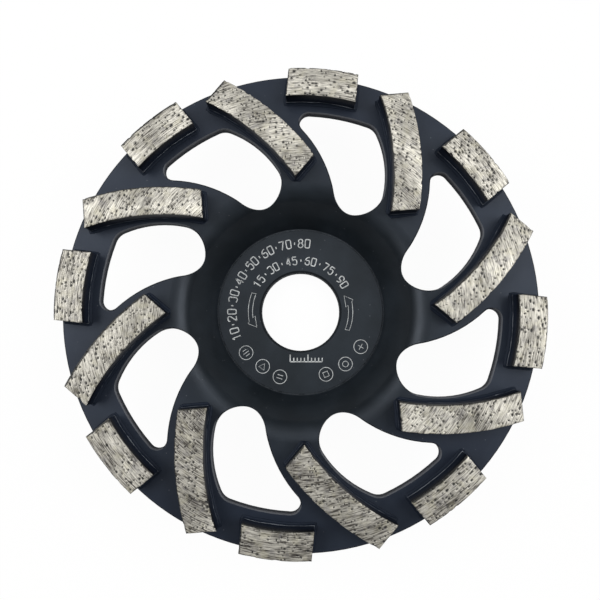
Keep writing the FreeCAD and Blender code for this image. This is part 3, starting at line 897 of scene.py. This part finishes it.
def ring_marks():
    """Strokes of six rings along the lower edge, each round a plain sign"""
    strokes = []
    signs = [
        [([(-0.8, -0.6), (-0.8, 0.6)], False), ([(0, -0.9), (0, 0.9)], False),
         ([(0.8, -0.6), (0.8, 0.6)], False)],
        [([(-0.9, -0.7), (0, 0.9), (0.9, -0.7)], True)],
        [([(-0.8, 0.45), (0.8, 0.45)], False), ([(-0.8, -0.45), (0.8, -0.45)], False)],
        [([(-0.7, -0.7), (0.7, -0.7), (0.7, 0.7), (-0.7, 0.7)], True)],
        [(oval(0, 0, 0.85, 0.85), True)],
        [([(-0.9, 0), (0.9, 0)], False), ([(0, -0.9), (0, 0.9)], False)],
    ]
    places = [(19.2, 217.1), (18.7, 235.4), (19.2, 252.5),
              (19.0, 292.1), (19.4, 310.6), (19.6, 329.7)]
    ring_radius = 1.93
    for (radius, degrees), sign in zip(places, signs):
        x, y = polar_place(radius, degrees)
        strokes.append((oval(x, y, ring_radius, ring_radius, 40), True))
        cosine, sine = polar_place(1, degrees + 90)
        for shape, closed in sign:
            turned = [(x + a * cosine - b * sine, y + a * sine + b * cosine) for a, b in shape]
            strokes.append((turned, closed))
    return strokes


def ruler_ticks():
    """Strokes of a short straight ruler under the bore, each fifth tick a long one"""
    left, base, ticks, short, long = -2.9, -14.1, 10, 1.1, 2.0
    strokes = [([(left, base), (left + ticks - 1, base)], False)]
    for index in range(ticks):
        tall = short if index % 5 else long
        strokes.append(([(left + index, base), (left + index, base + tall)], False))
    return strokes


# Operators

class DISC_OT_steel_body(bpy.types.Operator):
    """Gives the steel body its enamel"""
    bl_idname = "grinding_disc.steel_body"
    bl_label = "Steel body"

    def execute(self, context):
        disc = context.scene.grinding_disc
        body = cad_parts["disc_body"]
        body.data.materials.clear()
        body.data.materials.append(satin_enamel_on_steel(disc.body, rim_front(disc)))
        return {"FINISHED"}


class DISC_OT_segments(bpy.types.Operator):
    """Makes the long and short diamond segments with their ground faces"""
    bl_idname = "grinding_disc.segments"
    bl_label = "Diamond segments"

    def execute(self, context):
        disc = context.scene.grinding_disc
        top = disc.overall_height / MM
        foot = rim_front(disc) / MM
        face = ground_diamond_bond(disc.segment, top * MM)
        flank = enamelled_sinter(disc.segment, top * MM)
        for seed, bar in enumerate(bars(disc), SEGMENT_SEED):
            points, faces, ground_faces, values = segment_mesh(bar, foot, top, disc.segment, seed)
            piece = make_piece(f"{bar.name}_ground", points, faces, face)
            piece.data.materials.append(flank)
            for polygon in piece.data.polygons[ground_faces:]:
                polygon.material_index = 1
            for name, amounts in values.items():
                attribute = piece.data.attributes.new(name, "FLOAT", "POINT")
                attribute.data.foreach_set("value", amounts.astype("float32"))
            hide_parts(bar.name)
        return {"FINISHED"}


class DISC_OT_braze_fillets(bpy.types.Operator):
    """Makes the bead of braze round each segment's foot"""
    bl_idname = "grinding_disc.braze_fillets"
    bl_label = "Braze fillets"

    def execute(self, context):
        disc = context.scene.grinding_disc
        front = rim_front(disc) / MM
        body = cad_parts["disc_body"].data
        tree = BVHTree.FromPolygons([vertex.co for vertex in body.vertices],
                                    [tuple(face.vertices) for face in body.polygons])
        material = enamelled_braze(disc.fillet, disc.body, front * MM)
        for seed, bar in enumerate(bars(disc), BEAD_SEED):
            points, faces = fillet_mesh(bar, front, disc.fillet, tree, seed)
            make_piece(f"braze_{bar.name}", points, faces, material)
        return {"FINISHED"}


class DISC_OT_laser_marks(bpy.types.Operator):
    """Makes the pale laser marks on the hub's face"""
    bl_idname = "grinding_disc.laser_marks"
    bl_label = "Laser marks"

    def execute(self, context):
        mark = context.scene.grinding_disc.mark
        material = laser_marked_enamel(mark)
        top, width = mark.height / MM + 0.01, mark.stroke / MM
        outer_dial = dial_numbers(range(10, 90, 10), mark.outer_radius / MM,
                                  start=199, end=87, size=2.4)
        inner_dial = dial_numbers(range(15, 105, 15), mark.inner_radius / MM,
                                  start=144, end=35, size=2.2)
        arrows = [(rotation_arrow(turned), True) for turned in (0, 180)]
        groups = {
            "outer_dial": (outer_dial, width),
            "inner_dial": (inner_dial, width),
            "rotation_arrows": (arrows, width * 0.5),
            "ring_marks": (ring_marks(), width * 0.6),
            "ruler_ticks": (ruler_ticks(), width),
        }
        for name, (strokes, stroke) in groups.items():
            points, faces = ribbon(strokes, stroke, top)
            make_piece(name, points, faces, material, smooth=False)
        return {"FINISHED"}


# Each lamp's name, the setting of its power, its width, depth and place in metres
LAMPS = (
    ("key_lamp", "key_power", 1.2, 0.8, (0.04, 0.38, 0.76)),
    ("left_lamp", "side_power", 0.45, 0.45, (-0.5, 0.08, 0.48)),
    ("right_lamp", "side_power", 0.45, 0.45, (0.5, 0.08, 0.48)),
)

# The photograph's camera, almost straight over the bore: its place, and its turn in radians
CAMERA_PLACE = (1.79, -7.67, 175.37)
CAMERA_TURN = (0.06413, 0.01133, 0.0)


class DISC_OT_studio(bpy.types.Operator):
    """Makes the pale floor, the soft lamps and the camera"""
    bl_idname = "grinding_disc.studio"
    bl_label = "Studio"

    def execute(self, context):
        scene = context.scene
        studio = scene.grinding_disc.studio
        self.make_floor(studio)
        self.make_lamps(scene, studio)
        self.make_camera(scene, studio)
        return {"FINISHED"}

    def make_floor(self, studio):
        mesh = bpy.data.meshes.new("studio_floor")
        far = 3.0
        mesh.from_pydata([(-far, -far, 0), (far, -far, 0), (far, far, 0), (-far, far, 0)],
                         [], [(0, 1, 2, 3)])
        mesh.materials.append(matt_white_card(studio))
        new_object("studio_floor", mesh)

    def make_lamps(self, scene, studio):
        world = bpy.data.worlds.new("studio_sky")
        world.use_nodes = True
        tree = world.node_tree
        tree.nodes.clear()
        seen = add(tree, "LightPath").outputs["Is Camera Ray"]
        light = add(tree, "Background", (WHITE, studio.sky_strength))
        white = add(tree, "Background", (WHITE, 1.0))
        add(tree, "OutputWorld", [add(tree, "MixShader", (seen, light, white))])
        scene.world = world
        for name, power, width, depth, place in LAMPS:
            lamp = bpy.data.lights.new(name, "AREA")
            lamp.shape = "RECTANGLE"
            lamp.energy = getattr(studio, power)
            lamp.size, lamp.size_y = width, depth
            holder = new_object(name, lamp)
            holder.location = place
            holder.rotation_euler = (-Vector(place)).to_track_quat("-Z", "Y").to_euler()

    def make_camera(self, scene, studio):
        camera = bpy.data.cameras.new("camera")
        camera.sensor_width = 36.0
        camera.lens = studio.focal_length
        camera.clip_start, camera.clip_end = 0.01, 10.0
        holder = new_object("camera", camera)
        holder.location = Vector(CAMERA_PLACE) * MM
        holder.rotation_euler = CAMERA_TURN
        scene.camera = holder


class DISC_PT_sidebar(bpy.types.Panel):
    """Lists the disc's sizes, colours and pieces"""
    bl_label = "Grinding disc"
    bl_idname = "DISC_PT_sidebar"
    bl_space_type = "VIEW_3D"
    bl_region_type = "UI"
    bl_category = "Grinding disc"

    def draw(self, context):
        disc = context.scene.grinding_disc
        for name in ("diameter", "overall_height", "sectors", "first_angle"):
            self.layout.prop(disc, name)
        parts = (
            (disc.body, DISC_OT_steel_body),
            (disc.segment, DISC_OT_segments),
            (disc.fillet, DISC_OT_braze_fillets),
            (disc.mark, DISC_OT_laser_marks),
            (disc.studio, DISC_OT_studio),
        )
        for group, operator in parts:
            box = self.layout.box()
            for name in type(group).__annotations__:
                box.prop(group, name)
            box.operator(operator.bl_idname)


CLASSES = (
    SteelBodySettings,
    SegmentSettings,
    FilletSettings,
    MarkSettings,
    StudioSettings,
    GrindingDiscSettings,
    DISC_OT_steel_body,
    DISC_OT_segments,
    DISC_OT_braze_fillets,
    DISC_OT_laser_marks,
    DISC_OT_studio,
    DISC_PT_sidebar,
)


def register():
    for kind in CLASSES:
        bpy.utils.register_class(kind)
    bpy.types.Scene.grinding_disc = PointerProperty(type=GrindingDiscSettings)


def unregister():
    del bpy.types.Scene.grinding_disc
    for kind in reversed(CLASSES):
        bpy.utils.unregister_class(kind)


def main():
    register()
    bpy.ops.grinding_disc.steel_body()
    bpy.ops.grinding_disc.segments()
    bpy.ops.grinding_disc.braze_fillets()
    bpy.ops.grinding_disc.laser_marks()
    bpy.ops.grinding_disc.studio()
    bpy.context.scene.view_settings.view_transform = "Standard"
    bpy.context.view_layer.update()


if __name__ == "__main__":
    main()
